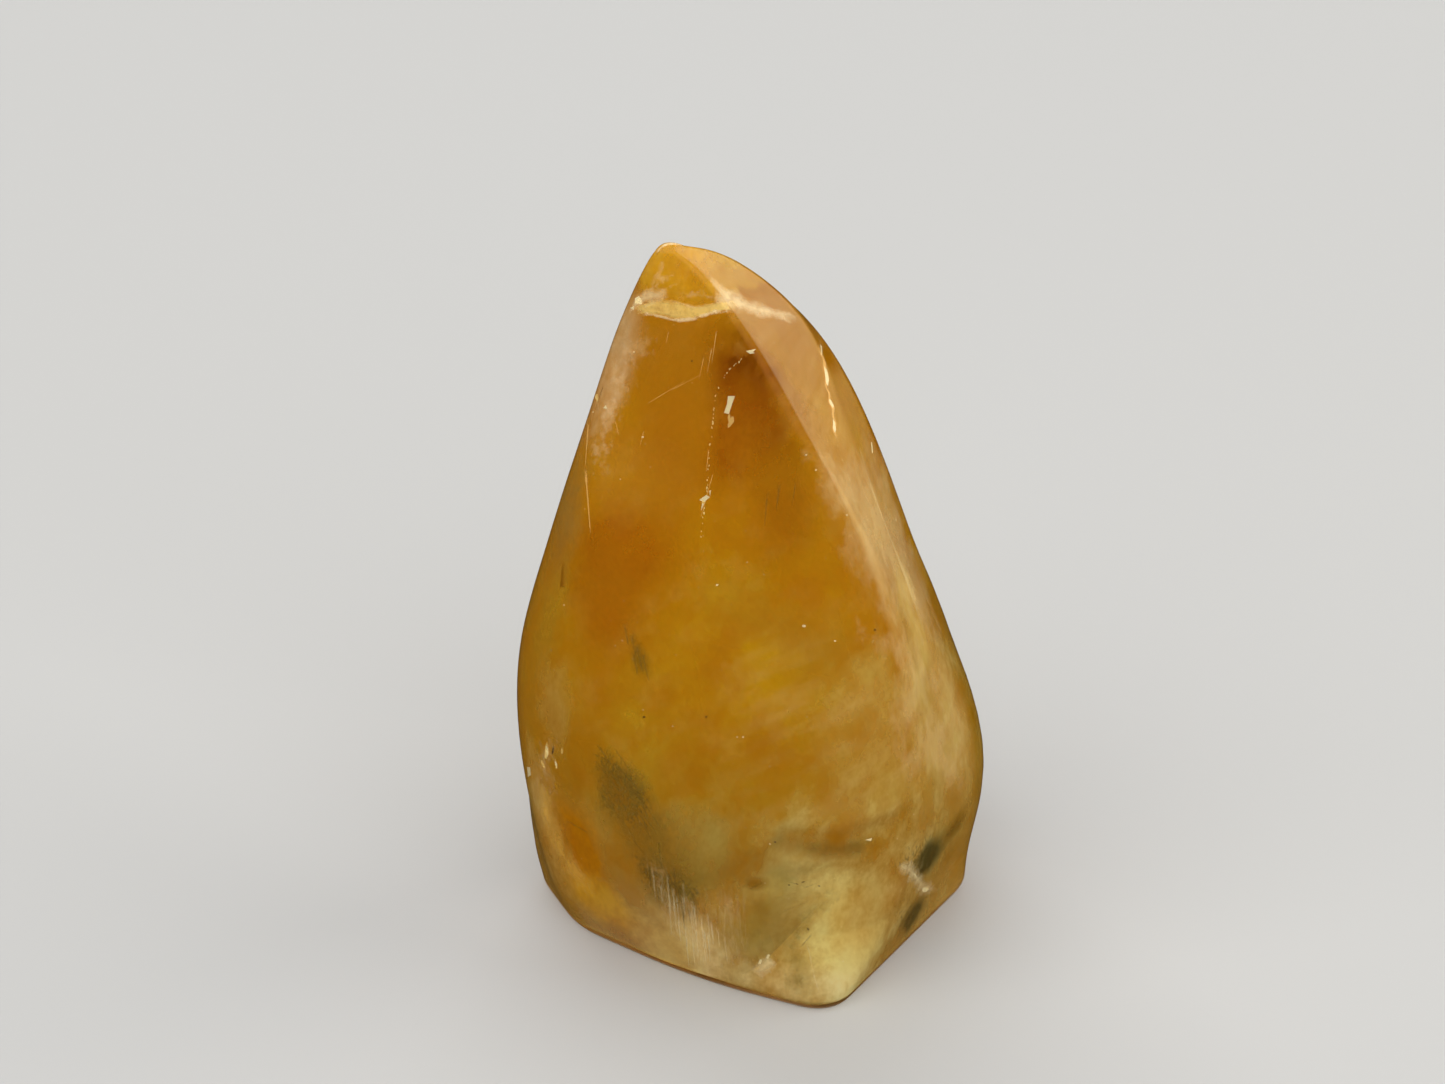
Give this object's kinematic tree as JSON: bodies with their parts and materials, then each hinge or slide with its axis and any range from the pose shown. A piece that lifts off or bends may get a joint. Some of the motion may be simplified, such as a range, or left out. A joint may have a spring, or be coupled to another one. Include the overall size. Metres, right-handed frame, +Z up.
{
  "type": "polished citrine crystal",
  "caption": "Polished see-through amber citrine cut as a leaning flame: soft facets twist up from a flat base to a blunt off-centre tip.",
  "frame": {"origin": "middle of the bounding box, at the height of the flat base that the stone stands on", "axes": "+Z up from the base towards the tip, -Y out of the broad front face, +X to that face's right"},
  "size_m": [0.0346, 0.03, 0.0556],
  "materials": {
    "citrine": "polished"
  },
  "bodies": {
    "root": {"citrine_crystal": "citrine"}
  },
  "joints": []
}
